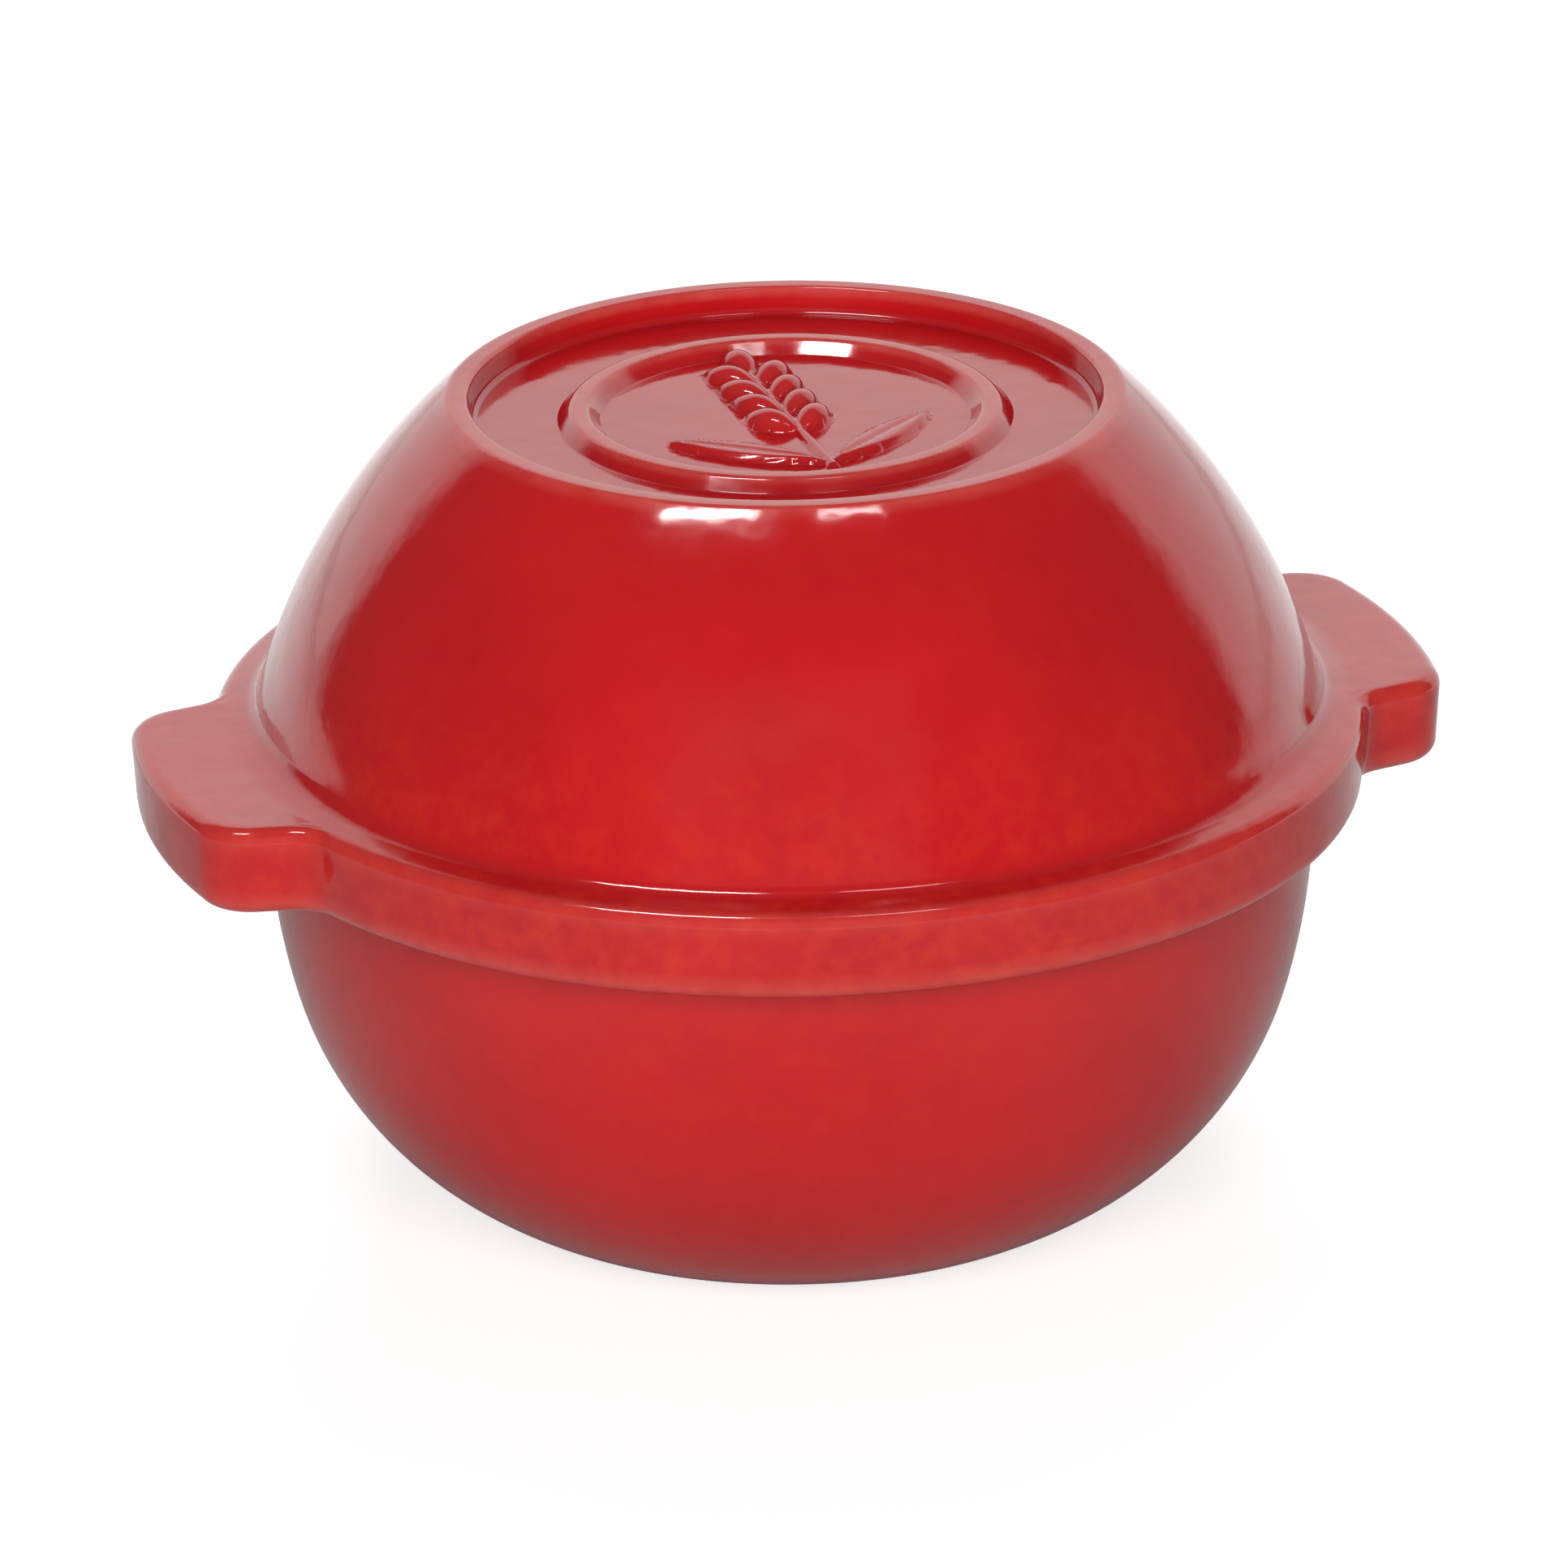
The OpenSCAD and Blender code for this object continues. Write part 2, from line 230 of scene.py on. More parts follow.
def arc(centre, radius, start, end, steps):
    """Points on a circle from one angle to another, in degrees, both ends included."""
    return [polar(centre, radius, start + (end - start) * k / steps) for k in range(steps + 1)]


def angle_to(centre, point):
    """Direction from a circle's centre to a point, in degrees."""
    return math.degrees(math.atan2(point.y - centre.y, point.x - centre.x))


def touch(a, b, radius):
    """Where the circle of this radius round a is touched by one round b."""
    return a + (b - a).normalized() * radius


def meet(p, rp, q, rq):
    """The point where two circles meet, to the left of the way from p to q."""
    gap = (q - p).length
    along = (rp * rp - rq * rq + gap * gap) / (2 * gap)
    way = (q - p) / gap
    return p + along * way + math.sqrt(rp * rp - along * along) * Vector((-way.y, way.x))


def reach_arc(p, way, centre, radius):
    """Where a line from p first reaches the circle round centre."""
    b = way.dot(p - centre)
    k = (p - centre).dot(p - centre) - radius * radius
    return p - (b + math.sqrt(b * b - k)) * way


def blunt(points, radii, steps):
    """A line through the points with its inner corners rounded by arcs of the given radii."""
    line = [points[0]]
    for before, corner, after, radius in zip(points, points[1:], points[2:], radii):
        a = (before - corner).normalized()
        b = (after - corner).normalized()
        half = a.angle(b) / 2
        centre = corner + (a + b).normalized() * radius / math.sin(half)
        start = angle_to(centre, corner + a * radius / math.tan(half))
        end = angle_to(centre, corner + b * radius / math.tan(half))
        turn = (end - start + 180) % 360 - 180
        line += arc(centre, radius, start, start + turn, steps)
    line.append(points[-1])
    return line


def spaced(a, b, steps):
    """Points between a and b, without either end."""
    return [a.lerp(b, k / steps) for k in range(1, steps)]


# Plan of the band and the handles

def quarter_outline():
    """Points and outward directions from +X to +Y, with how far each belongs to the plain band."""
    corner_angle = angle_to(Vector((0, 0)), CORNER_CENTRE)
    side_out = Vector((math.sin(HANDLE_FLARE), math.cos(HANDLE_FLARE)))
    side_in = Vector((-math.cos(HANDLE_FLARE), math.sin(HANDLE_FLARE)))
    side_start = CORNER_CENTRE + CORNER * side_out
    root_centre = reach_arc(side_start + ROOT * side_out, side_in, Vector((0, 0)), BAND_RADIUS + ROOT)
    side_end = root_centre - ROOT * side_out
    root_angle = angle_to(Vector((0, 0)), root_centre)
    flare = math.degrees(HANDLE_FLARE)
    end, corner, side, root, band = COLUMNS
    outline = []
    for k in range(end):
        a = math.radians(corner_angle * k / end)
        out = Vector((math.cos(a), math.sin(a)))
        outline.append((HANDLE_REACH * out, out, 0.0))
    for k in range(corner):
        a = math.radians(corner_angle + (90 - flare - corner_angle) * k / corner)
        out = Vector((math.cos(a), math.sin(a)))
        outline.append((CORNER_CENTRE + CORNER * out, out, 0.0))
    for k in range(side):
        outline.append((side_start.lerp(side_end, k / side), side_out, 0.0))
    for k in range(root):
        a = math.radians(90 - flare + (root_angle - 90 + flare) * k / root)
        out = Vector((math.cos(a), math.sin(a)))
        share = k / root
        outline.append((root_centre - ROOT * out, out, share * share * (3 - 2 * share)))
    for k in range(band):
        a = math.radians(root_angle + (90 - root_angle) * k / band)
        out = Vector((math.cos(a), math.sin(a)))
        outline.append((BAND_RADIUS * out, out, 1.0))
    return outline


def lid_outline():
    """The whole outline, from the quarter and its mirror images."""
    quarter = quarter_outline()
    north = (Vector((0, BAND_RADIUS)), Vector((0, 1)), 1.0)
    half = quarter + [north]
    for point, out, share in reversed(quarter[1:]):
        half.append((Vector((-point.x, point.y)), Vector((-out.x, out.y)), share))
    whole = list(half)
    west = (Vector((-HANDLE_REACH, 0)), Vector((-1, 0)), 0.0)
    whole.append(west)
    for point, out, share in reversed(half[1:]):
        whole.append((Vector((point.x, -point.y)), Vector((out.x, -out.y)), share))
    return whole


# Relief on the recess floor

def grain_rise(along, across):
    """Height of a grain: a pointed oval, round across and tapering to both ends."""
    share = 1 - (2 * along / GRAIN_LENGTH) ** 2
    if share <= 0:
        return 0.0
    half = GRAIN_WIDTH / 2 * share
    level = 1 - (across / half) ** 2
    if level <= 0:
        return 0.0
    return half * math.sqrt(level)


def leaf_rise(along, across):
    """Height of a flat leaf with soft edges and a fold along its middle."""
    share = 1 - (2 * along / LEAF_LENGTH) ** 2
    if share <= 0:
        return 0.0
    inside = LEAF_WIDTH / 2 * share - abs(across)
    if inside <= 0:
        return 0.0
    edge = min(inside / LEAF_EDGE, 1.0)
    fold = FOLD_DEPTH * math.exp(-(across / FOLD_WIDTH) ** 2)
    return (LEAF_HEIGHT - fold) * math.sqrt(1 - (1 - edge) ** 2)


def turned(x, y, centre, lean):
    """Coordinates along and across a form at centre that leans clockwise from +Y."""
    dx = x - centre.x
    dy = y - centre.y
    along = dx * math.sin(lean) + dy * math.cos(lean)
    across = dx * math.cos(lean) - dy * math.sin(lean)
    return along, across


def relief_height(x, y):
    """Height of the ear of wheat above the recess floor, forms melting into one another."""
    rises = []
    for side in (-1, 1):
        for i in range(GRAIN_PAIRS):
            grain = Vector((side * GRAIN_OFFSET, (i - 1) * GRAIN_PITCH + EAR_RISE))
            rises.append(grain_rise(*turned(x, y, grain, side * GRAIN_LEAN)))
        lean = side * LEAF_LEAN
        root = Vector((side * STEM_WIDTH / 4, STEM_LOW))
        leaf = root + LEAF_LENGTH / 2 * Vector((math.sin(lean), math.cos(lean)))
        rises.append(leaf_rise(*turned(x, y, leaf, lean)))
    tip = (GRAIN_PAIRS - 1) * GRAIN_PITCH + TIP_RISE
    rises.append(grain_rise(y - tip, x))
    if STEM_LOW - STEM_WIDTH < y < STEM_TOP and abs(x) < STEM_WIDTH / 2:
        rises.append(math.sqrt((STEM_WIDTH / 2) ** 2 - x * x))
    total = sum(rise ** MELT for rise in rises if rise > 0)
    return total ** (1 / MELT)


# Sections

def fillet_geometry():
    """Centre of the hollow between dome and band, and where it touches both."""
    slope_in = Vector((-math.cos(BAND_SLOPE), math.sin(BAND_SLOPE)))
    slope_up = Vector((math.sin(BAND_SLOPE), math.cos(BAND_SLOPE)))
    shoulder = Vector((BAND_RADIUS - TOP_DEPTH, BAND_TOP - TOP_ROUNDING)) + TOP_ROUNDING * slope_up
    centre = reach_arc(shoulder + FILLET * slope_up, slope_in, DOME_CENTRE, DOME_CURVE + FILLET)
    on_band = centre - FILLET * slope_up
    on_dome = touch(DOME_CENTRE, centre, DOME_CURVE)
    return centre, on_band, on_dome


def top_section():
    """Section of the lid from just inside the raised ring to the top of the band."""
    middle = (RING_INNER + RING_OUTER) / 2
    ring_top = FIELD + RING_HEIGHT
    ring = [Vector((RING_INNER - RING_MARGIN, FIELD)), Vector((RING_INNER, FIELD)),
            Vector((middle - RING_CROWN / 2, ring_top)), Vector((middle + RING_CROWN / 2, ring_top)),
            Vector((RING_OUTER, FIELD)), Vector((RING_OUTER + RING_MARGIN, FIELD))]
    line = blunt(ring, (RING_FOOT, RING_ROUNDING, RING_ROUNDING, RING_FOOT), RING_STEPS)
    crest_y = CREST - CREST_ROUNDING
    crest_reach = math.sqrt((DOME_CURVE - CREST_ROUNDING) ** 2 - (crest_y - DOME_CENTRE.y) ** 2)
    crest = Vector((DOME_CENTRE.x + crest_reach, crest_y))
    dome_top = touch(DOME_CENTRE, crest, DOME_CURVE)
    wall = [Vector((RING_OUTER + FIELD_MARGIN, FIELD)), Vector((RECESS_RADIUS - RECESS_DRAFT, FIELD)),
            Vector((RECESS_RADIUS, CREST)), Vector((crest.x - CREST_MARGIN, CREST))]
    line += blunt(wall, (RECESS_FOOT, LIP_ROUNDING), CREST_STEPS)
    line += arc(crest, CREST_ROUNDING, 90, angle_to(crest, dome_top), CREST_STEPS)
    centre, on_band, on_dome = fillet_geometry()
    dome_from = angle_to(DOME_CENTRE, dome_top)
    dome_to = angle_to(DOME_CENTRE, on_dome)
    line += arc(DOME_CENTRE, DOME_CURVE, dome_from, dome_to, DOME_STEPS)[1:]
    line += arc(centre, FILLET, angle_to(centre, on_dome), angle_to(centre, on_band), FILLET_STEPS)[1:]
    return line


def hollow_section():
    """Section of the inside of the lid, from the skirt to the ceiling."""
    low = Vector((SKIRT_RADIUS + SKIRT_ROUNDING, BAND_LOW + SKIRT_ROUNDING))
    line = arc(low, SKIRT_ROUNDING, -90, -180, SKIRT_STEPS)
    corner = Vector((SKIRT_RADIUS, RIM))
    line += spaced(line[-1], corner, SKIRT_STEPS)
    line += [corner, Vector((SEAT_INNER.x + SEAT_MARGIN, RIM)), SEAT_INNER]
    hollow_curve = DOME_CURVE - LID_WALL
    centre = meet(SEAT_INNER, hollow_curve, CEILING_CENTRE, hollow_curve - CEILING_ROUNDING)
    top = touch(centre, CEILING_CENTRE, hollow_curve)
    line += arc(centre, hollow_curve, angle_to(centre, SEAT_INNER), angle_to(centre, top), HOLLOW_STEPS)[1:]
    line += arc(CEILING_CENTRE, CEILING_ROUNDING, angle_to(CEILING_CENTRE, top), 90, CEILING_STEPS)[1:]
    line += [Vector((radius, CEILING)) for radius in CEILING_RINGS]
    return line


def bowl_section():
    """Section of the bowl from the middle of its underside, up outside, over the rim and down inside."""
    side_low = touch(SIDE_CENTRE, BELLY_CENTRE, SIDE_CURVE)
    belly_low = touch(BELLY_CENTRE, FOOT_CENTRE, BELLY_CURVE)
    rim_rise = RIM - RIM_ROUNDING - SIDE_CENTRE.y
    outer_curve = SIDE_CURVE - RIM_ROUNDING
    inner_curve = SIDE_CURVE - BOWL_WALL + RIM_ROUNDING
    outer_end = math.degrees(math.asin(rim_rise / outer_curve))
    inner_end = math.degrees(math.asin(rim_rise / inner_curve))
    outer_rim = polar(SIDE_CENTRE, outer_curve, outer_end)
    inner_rim = polar(SIDE_CENTRE, inner_curve, inner_end)
    belly_from = angle_to(BELLY_CENTRE, belly_low)
    belly_to = angle_to(BELLY_CENTRE, side_low)
    side_from = angle_to(SIDE_CENTRE, side_low)
    foot_to = angle_to(FOOT_CENTRE, belly_low)
    line = [Vector((radius, 0)) for radius in UNDERSIDE_RINGS]
    line += arc(FOOT_CENTRE, FOOT_CURVE, -90, foot_to, FOOT_STEPS[0])
    line += arc(BELLY_CENTRE, BELLY_CURVE, belly_from, belly_to, BELLY_STEPS[0])[1:]
    line += arc(SIDE_CENTRE, SIDE_CURVE, side_from, outer_end, SIDE_STEPS[0])[1:]
    line += arc(outer_rim, RIM_ROUNDING, outer_end, 90, RIM_STEPS)[1:]
    line += arc(inner_rim, RIM_ROUNDING, 90, 180 + inner_end, RIM_STEPS)
    line += arc(SIDE_CENTRE, SIDE_CURVE - BOWL_WALL, inner_end, side_from, SIDE_STEPS[1])[1:]
    line += arc(BELLY_CENTRE, BELLY_CURVE - BOWL_WALL, belly_to, belly_from, BELLY_STEPS[1])[1:]
    line += arc(FOOT_CENTRE, FOOT_CURVE - BOWL_WALL, foot_to, -90, FOOT_STEPS[1])[1:]
    line += [Vector((radius, BOWL_WALL)) for radius in BASE_RINGS]
    return line


# Meshes

def bends(line):
    """How strongly a section bends at each of its points: above zero at edges, below at creases."""
    steps = [(b - a).length for a, b in zip(line, line[1:])]
    along = [0.0]
    for step in steps:
        along.append(along[-1] + step)
    turns = [0.0]
    for a, b, c in zip(line, line[1:], line[2:]):
        turns.append((b - a).angle_signed(c - b))
    turns.append(0.0)
    values = []
    for here in along:
        total = 0.0
        for there, turn in zip(along, turns):
            share = (there - here) / EDGE_REACH
            if abs(share) < EDGE_LIMIT:
                total += turn * math.exp(-share * share / 2)
        values.append(total / (EDGE_REACH * math.sqrt(2 * math.pi)))
    return values


def paint_edges(piece, values):
    """Stores for each point how much it lies on an edge or in a crease, for the glaze: paler pink on edges,
    partly thinner glaze and partly a painted reflection, and darker red in creases.
    """
    layer = piece.data.attributes.new("edge", "FLOAT", "POINT")
    layer.data.foreach_set("value", values)


def grid_mesh(name, rows, low_pole, high_pole):
    """A closed mesh from rings of points, each ring as long as the next, with a point at either end."""
    count = len(rows[0])
    points = [low_pole]
    for row in rows:
        points += row
    points.append(high_pole)
    faces = []
    for k in range(count):
        faces.append((0, 1 + k, 1 + (k + 1) % count))
    for j in range(len(rows) - 1):
        a = 1 + j * count
        b = a + count
        for k in range(count):
            n = (k + 1) % count
            faces.append((a + k, b + k, b + n, a + n))
    last = 1 + (len(rows) - 1) * count
    for k in range(count):
        faces.append((last + k, len(points) - 1, last + (k + 1) % count))
    mesh = bpy.data.meshes.new(name)
    mesh.from_pydata([Vector(p) * MM for p in points], [], faces)
    mesh.shade_smooth()
    mesh.update()
    piece = bpy.data.objects.new(name, mesh)
    bpy.context.scene.collection.objects.link(piece)
    return piece


def lathe_rows(section, angles):
    """One ring for each point of a section."""
    return [[(p.x * math.cos(a), p.x * math.sin(a), p.y) for a in angles] for p in section]


def band_tops(outline):
    """Top of the band and of the handles, from the hollow at the dome out to the rounded edge."""
    on_band = fillet_geometry()[1]
    slope = math.tan(BAND_SLOPE)
    columns = []
    for point, out, share in outline:
        way = point.normalized()
        tilt = BAND_SLOPE * share
        edge = point - (TOP_DEPTH - TOP_ROUNDING * math.sin(tilt)) * out
        edge_z = BAND_TOP - TOP_ROUNDING * (1 - math.cos(tilt))
        start = on_band.x * way
        reach = (edge - start).length
        near = min(NEAR_SHARE * reach, NEAR_REACH)
        steps = [near / reach * k / NEAR_STEPS for k in range(1, NEAR_STEPS + 1)]
        steps += [(near + (reach - near) * k / FAR_STEPS) / reach for k in range(1, FAR_STEPS)]
        column = []
        for t in steps:
            spot = start.lerp(edge, t)
            line = on_band.y - (spot.length - on_band.x) * slope
            above = min((line - BAND_TOP) / SOFT_LINE, STEEPEST)
            level = BAND_TOP + SOFT_LINE * math.log(1 + math.exp(above))
            column.append((spot.x, spot.y, line * share + level * (1 - share)))
        column.append((edge.x, edge.y, edge_z))
        columns.append(column)
    return [list(row) for row in zip(*columns)]


def edge_rows(outline):
    """Rounded outer edge of the band and of the handles, from its top to its underside."""
    rows = []
    for k in range(1, EDGE_STEPS + 1):
        row = []
        for point, out, share in outline:
            start = math.pi / 2 - BAND_SLOPE * share
            a = start + (-EDGE_LEAN - start) * k / EDGE_STEPS
            spot = point - (TOP_DEPTH - TOP_ROUNDING * math.cos(a)) * out
            row.append((spot.x, spot.y, BAND_TOP - TOP_ROUNDING + TOP_ROUNDING * math.sin(a)))
        rows.append(row)
    low_turn = -math.pi / 2 + EDGE_LEAN
    low = []
    for k in range(EDGE_STEPS + 1):
        row = []
        a = -EDGE_LEAN + low_turn * k / EDGE_STEPS
        for point, out, share in outline:
            spot = point - (LOW_DEPTH - LOW_ROUNDING * math.cos(a)) * out
            row.append((spot.x, spot.y, BAND_LOW + LOW_ROUNDING + LOW_ROUNDING * math.sin(a)))
        low.append(row)
    return rows + rows_between(rows[-1], low[0], FACE_STEPS) + low


def rows_between(first, last, steps):
    """Rings between two others, without either."""
    return [[tuple(Vector(p).lerp(Vector(q), k / steps)) for p, q in zip(first, last)]
            for k in range(1, steps)]


def relief_rows(angles):
    """Rings over the relief, from near the middle out to the foot of the raised ring."""
    rows = []
    for j in range(1, RELIEF_RINGS + 1):
        radius = (RING_INNER - RELIEF_MARGIN) * j / RELIEF_RINGS
        row = []
        for a in angles:
            x = radius * math.cos(a)
            y = radius * math.sin(a)
            row.append((x, y, FIELD + relief_height(x, y)))
        rows.append(row)
    return rows


def edge_values(rows):
    """For each point of the lid, how much it lies on an edge (up to 1) or in a crease (down to -1)."""
    count = len(rows[0])
    north = count // 4
    values = [0.0]
    for row in rows[:RELIEF_RINGS]:
        # Relief tops count as edges, so the glaze paints them paler pink, partly as a painted reflection
        values += [min((point[2] - FIELD) / GRAIN_WIDTH, RELIEF_EDGE) for point in row]
    section = []
    for row in rows[RELIEF_RINGS:]:
        section.append(Vector((math.hypot(row[north][0], row[north][1]), row[north][2])))
    for spot, bend in zip(section, bends(section)):
        share = max(-1.0, min(bend / FULL_EDGE, 1.0))
        upper = BAND_LOW + LOW_ROUNDING < spot.y < FIELD - UPPER_MARGIN
        values += [share * UPPER_EDGE if upper and share > 0 else share] * count
    values.append(0.0)
    return values


def make_lid():
    """The lid as one closed mesh: relief, top and dome, band with handles, underside and hollow."""
    outline = lid_outline()
    angles = [math.atan2(point.y, point.x) for point, out, share in outline]
    rows = relief_rows(angles)
    rows += lathe_rows(top_section(), angles)
    rows += band_tops(outline)
    rows += edge_rows(outline)
    hollow = lathe_rows(hollow_section(), angles)
    rows += rows_between(rows[-1], hollow[0], UNDERSIDE_STEPS) + hollow
    piece = grid_mesh("glazed_lid", rows, (0, 0, FIELD + relief_height(0, 0)), (0, 0, CEILING))
    paint_edges(piece, edge_values(rows))
    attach(piece, "root")
    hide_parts("lid")
    return piece


def make_bowl():
    """The bowl as one closed mesh turned from its section."""
    angles = [-2 * math.pi * k / BOWL_COLUMNS for k in range(BOWL_COLUMNS)]
    rows = lathe_rows(bowl_section(), angles)
    piece = grid_mesh("glazed_bowl", rows, (0, 0, 0), (0, 0, BOWL_WALL))
    paint_edges(piece, [0.0] * len(piece.data.vertices))
    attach(piece, "root")
    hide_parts("base_bowl")
    return piece


# Shader nodes

def add_node(tree, kind, **values):
    node = tree.nodes.new(kind)
    for key, value in values.items():
        setattr(node, key, value)
    return node


def noise(tree, coords, scale, detail, rough):
    node = add_node(tree, "ShaderNodeTexNoise")
    node.inputs["Scale"].default_value = scale
    node.inputs["Detail"].default_value = detail
    node.inputs["Roughness"].default_value = rough
    tree.links.new(coords, node.inputs["Vector"])
    return node.outputs["Fac"]


def spread(tree, value, low, high, to_low=0.0, to_high=1.0):
    """Takes a value from one range to another, without going past its ends."""
    node = add_node(tree, "ShaderNodeMapRange")
    node.inputs["From Min"].default_value = low
    node.inputs["From Max"].default_value = high
    node.inputs["To Min"].default_value = to_low
    node.inputs["To Max"].default_value = to_high
    tree.links.new(value, node.inputs["Value"])
    return node.outputs["Result"]


def maths(tree, operation, a, b):
    """Joins an output with another one, or with a plain number."""
    node = add_node(tree, "ShaderNodeMath", operation=operation)
    tree.links.new(a, node.inputs[0])
    if isinstance(b, float):
        node.inputs[1].default_value = b
    else:
        tree.links.new(b, node.inputs[1])
    return node.outputs[0]


def bump(tree, height, strength, depth):
    """A bump node fed by a height."""
    node = add_node(tree, "ShaderNodeBump")
    node.inputs["Strength"].default_value = strength
    node.inputs["Distance"].default_value = depth
    tree.links.new(height, node.inputs["Height"])
    return node


def ray(tree, kind):
    """1 for rays of this kind, 0 for the others."""
    return add_node(tree, "ShaderNodeLightPath").outputs[kind]


def along_wall_side(tree, coords):
    """How far a point or direction lies towards the wall behind the pot."""
    dot = add_node(tree, "ShaderNodeVectorMath", operation="DOT_PRODUCT")
    dot.inputs[1].default_value = Matrix.Rotation(TURN, 3, "Z") @ Vector(WALL_SIDE)
    tree.links.new(coords, dot.inputs[0])
    return dot.outputs["Value"]


def blend_colour(tree, share, a, b):
    node = add_node(tree, "ShaderNodeMix", data_type="RGBA")
    tree.links.new(share, node.inputs["Factor"])
    for socket, colour in ((node.inputs[6], a), (node.inputs[7], b)):
        if isinstance(colour, tuple):
            socket.default_value = colour
        else:
            tree.links.new(colour, socket)
    return node.outputs[2]


def glaze(name):
    """Glossy red glaze over stoneware: slow clouds, warm mottling, paler pink on edges as thinner glaze and
    as a painted reflection, and darker red in creases.
    """
    material = bpy.data.materials.new(name)
    material.use_nodes = True
    tree = material.node_tree
    shader = tree.nodes["Principled BSDF"]
    coords = add_node(tree, "ShaderNodeTexCoord").outputs["Object"]
    clouds = spread(tree, noise(tree, coords, *CLOUDS), *CLOUD_RANGE)
    colour = blend_colour(tree, clouds, DEEP_RED, RED)
    height = add_node(tree, "ShaderNodeSeparateXYZ")
    tree.links.new(coords, height.inputs[0])
    above = spread(tree, height.outputs["Z"], *WARM_ABOVE)
    below = spread(tree, height.outputs["Z"], *WARM_BELOW)
    near_band = maths(tree, "MULTIPLY", above, below)
    flecks = spread(tree, noise(tree, coords, *FLECKS), *FLECK_RANGE)
    warmth = maths(tree, "MULTIPLY", near_band, flecks)
    colour = blend_colour(tree, warmth, colour, WARM_RED)
    edge = add_node(tree, "ShaderNodeAttribute", attribute_name="edge").outputs["Fac"]
    # Darker red in creases, set by the negative edge values
    colour = blend_colour(tree, spread(tree, edge, *CREASE_RANGE), colour, DEEP_RED)
    # Paler pink on edges and relief tops: partly thinner glaze, partly a painted reflection of the lamps and
    # floor
    uneven = spread(tree, noise(tree, coords, *THIN_AND_REFLECTION_SPOTS), *THIN_AND_REFLECTION_SPOT_RANGE)
    thin = maths(tree, "MULTIPLY", spread(tree, edge, *THIN_AND_REFLECTION_RANGE), uneven)
    colour = blend_colour(tree, thin, colour, THIN_AND_REFLECTION_RED)
    tree.links.new(colour, shader.inputs["Base Color"])
    roughness = spread(tree, noise(tree, coords, *SHEEN), *ROUGHNESS_RANGE)
    tree.links.new(roughness, shader.inputs["Roughness"])
    shader.inputs["IOR"].default_value = GLAZE_IOR
    wave = bump(tree, noise(tree, coords, *RIPPLE), *RIPPLE_BUMP)
    fine = bump(tree, noise(tree, coords, *PEEL), *PEEL_BUMP)
    tree.links.new(wave.outputs["Normal"], fine.inputs["Normal"])
    tree.links.new(fine.outputs["Normal"], shader.inputs["Normal"])
    return material


# Studio

def make_floor():
    """White paper under the pot: it keeps the shadow and glows for the camera, and far off for mirrors."""
    reach = FLOOR_REACH
    mesh = bpy.data.meshes.new("studio_floor")
    mesh.from_pydata([(-reach, -reach, 0), (reach, -reach, 0), (reach, reach, 0), (-reach, reach, 0)], [],
                     [(0, 1, 2, 3)])
    floor = bpy.data.objects.new("studio_floor", mesh)
    bpy.context.scene.collection.objects.link(floor)
    floor.location.z = -FLOOR_DROP
    material = bpy.data.materials.new("studio_paper")
    material.use_nodes = True
    tree = material.node_tree
    shader = tree.nodes["Principled BSDF"]
    shader.inputs["Base Color"].default_value = PAPER
    shader.inputs["Roughness"].default_value = PAPER_ROUGHNESS
    shader.inputs["Specular IOR Level"].default_value = 0.0
    glow = add_node(tree, "ShaderNodeEmission")
    spot = add_node(tree, "ShaderNodeTexCoord").outputs["Object"]
    far_floor = spread(tree, along_wall_side(tree, spot), *MIRRORED_RANGE)
    mirrored = maths(tree, "MULTIPLY", far_floor, ray(tree, "Is Glossy Ray"))
    seen = maths(tree, "MAXIMUM", mirrored, ray(tree, "Is Camera Ray"))
    tree.links.new(maths(tree, "MULTIPLY", seen, FLOOR_LIFT), glow.inputs["Strength"])
    both = add_node(tree, "ShaderNodeAddShader")
    tree.links.new(shader.outputs[0], both.inputs[0])
    tree.links.new(glow.outputs[0], both.inputs[1])
    tree.links.new(both.outputs[0], tree.nodes["Material Output"].inputs["Surface"])
    floor.data.materials.append(material)


def make_world():
    """A studio with a bright curved wall behind the object and a dim room in front of it."""
    world = bpy.data.worlds.new("studio")
    bpy.context.scene.world = world
    world.use_nodes = True
    tree = world.node_tree
    tree.nodes.clear()
    coords = add_node(tree, "ShaderNodeTexCoord").outputs["Generated"]
    split = add_node(tree, "ShaderNodeSeparateXYZ")
    tree.links.new(coords, split.inputs[0])
    behind = spread(tree, along_wall_side(tree, coords), *WALL_RANGE)
    low = spread(tree, split.outputs["Z"], *WALL_TOP_RANGE)
    wall = maths(tree, "MULTIPLY", behind, low)
    seen = maths(tree, "MAXIMUM", ray(tree, "Is Glossy Ray"), ray(tree, "Is Transmission Ray"))
    bright = spread(tree, seen, 0.0, 1.0, BACK_LIGHT, BACK_WHITE)
    level = maths(tree, "MAXIMUM", maths(tree, "MULTIPLY", wall, bright), FRONT_GREY)
    studio = add_node(tree, "ShaderNodeBackground")
    tree.links.new(level, studio.inputs["Strength"])
    white = add_node(tree, "ShaderNodeBackground")
    mix = add_node(tree, "ShaderNodeMixShader")
    tree.links.new(ray(tree, "Is Camera Ray"), mix.inputs[0])
    tree.links.new(studio.outputs[0], mix.inputs[1])
    tree.links.new(white.outputs[0], mix.inputs[2])
    output = add_node(tree, "ShaderNodeOutputWorld")
    tree.links.new(mix.outputs[0], output.inputs["Surface"])


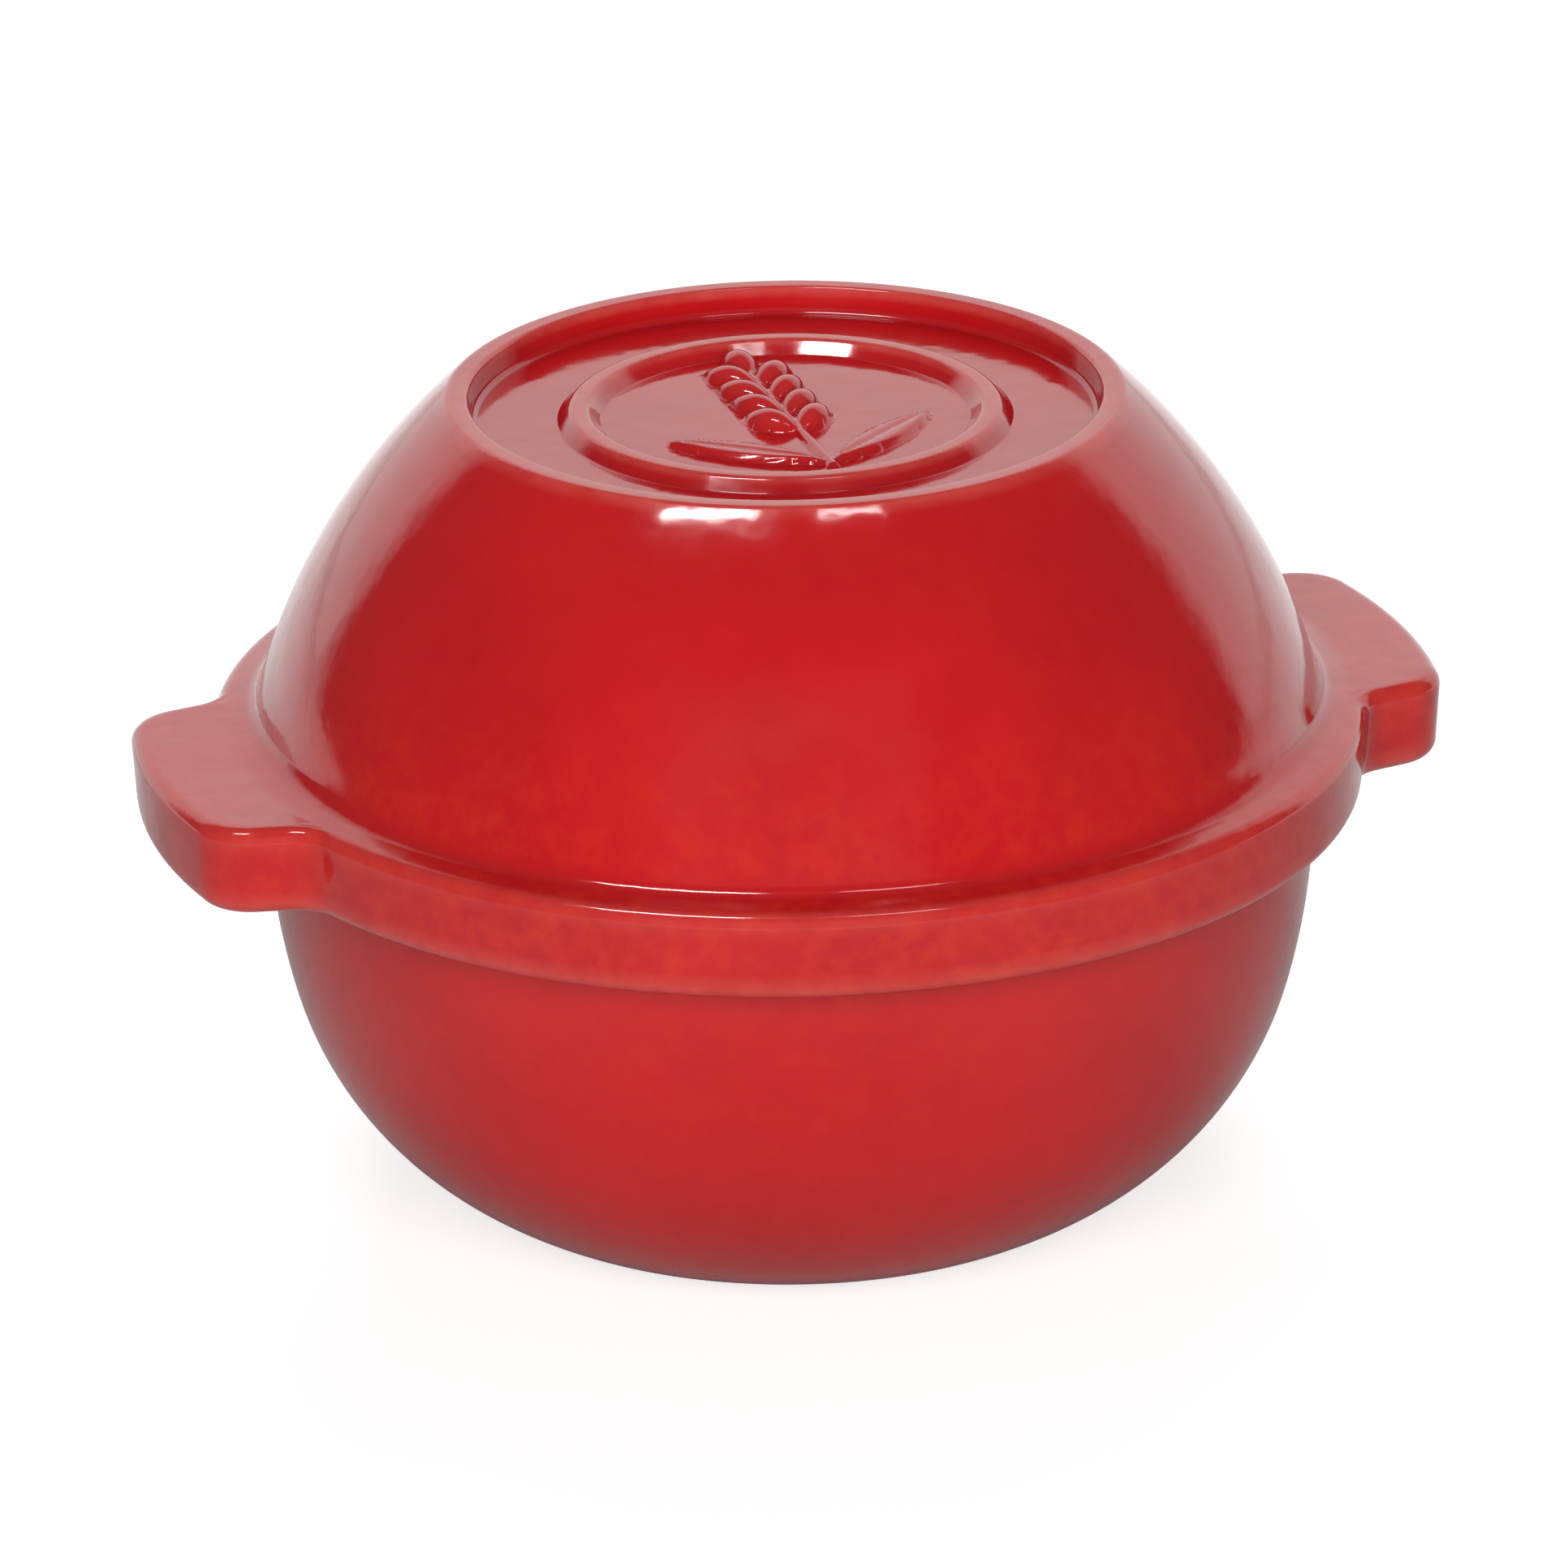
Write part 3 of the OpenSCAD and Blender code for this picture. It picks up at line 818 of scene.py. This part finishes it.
def soft_box(name, place, target, width, height, power, shines=True, reflected=True):
    """An area lamp in the photograph's frame (x right, y away, z up), in metres."""
    lamp = bpy.data.lights.new(name, "AREA")
    lamp.shape = "RECTANGLE"
    lamp.size = width
    lamp.size_y = height
    lamp.energy = power
    holder = bpy.data.objects.new(name, lamp)
    turn = Matrix.Rotation(TURN, 3, "Z")
    holder.location = turn @ Vector(place)
    holder.rotation_euler = (turn @ (Vector(target) - Vector(place))).to_track_quat("-Z", "Y").to_euler()
    holder.visible_camera = False
    holder.visible_diffuse = shines
    holder.visible_glossy = reflected
    bpy.context.scene.collection.objects.link(holder)


def make_camera():
    """Camera of the photograph: its place and angles, with a long lens."""
    flat = math.cos(CAMERA_PITCH)
    forward = Vector((math.sin(CAMERA_YAW) * flat, math.cos(CAMERA_YAW) * flat, -math.sin(CAMERA_PITCH)))
    level = Vector((math.cos(CAMERA_YAW), -math.sin(CAMERA_YAW), 0))
    upright = level.cross(forward)
    right = math.cos(CAMERA_ROLL) * level + math.sin(CAMERA_ROLL) * upright
    up = -math.sin(CAMERA_ROLL) * level + math.cos(CAMERA_ROLL) * upright
    turn = Matrix.Rotation(TURN, 3, "Z")
    axes = Matrix((turn @ right, turn @ up, turn @ -forward)).transposed()
    data = bpy.data.cameras.new("photo_camera")
    data.sensor_fit = "HORIZONTAL"
    data.sensor_width = CAMERA_SENSOR
    data.lens = CAMERA_LENS
    data.clip_start = CAMERA_CLIP[0]
    data.clip_end = CAMERA_CLIP[1]
    camera = bpy.data.objects.new("photo_camera", data)
    camera.matrix_world = Matrix.Translation(turn @ CAMERA_PLACE) @ axes.to_4x4()
    bpy.context.scene.collection.objects.link(camera)
    bpy.context.scene.camera = camera


make_camera()
lid = make_lid()
bowl = make_bowl()
red = glaze("red_glaze")
lid.data.materials.append(red)
bowl.data.materials.append(red)
make_floor()
make_world()
# Lamps: place, aim, width, height and power of a key, one for the far floor and two thin ones above
soft_box("key_front", (-0.04, -2.15, 0.95), POT, 2.3, 1.8, 65, reflected=False)
soft_box("floor_light", (0, 1.5, 1.6), (0, 1.3, 0), 1.6, 1.0, 26, reflected=False)
soft_box("top_left", (-0.50, -0.42, 1.95), (-0.30, 0.36, 0), 0.66, 0.09, 10.0, shines=False)
soft_box("top_right", (0.42, -0.44, 1.95), (0.22, 0.36, 0), 0.40, 0.08, 1.4, shines=False)

bpy.context.scene.view_settings.view_transform = "Standard"
bpy.context.view_layer.update()
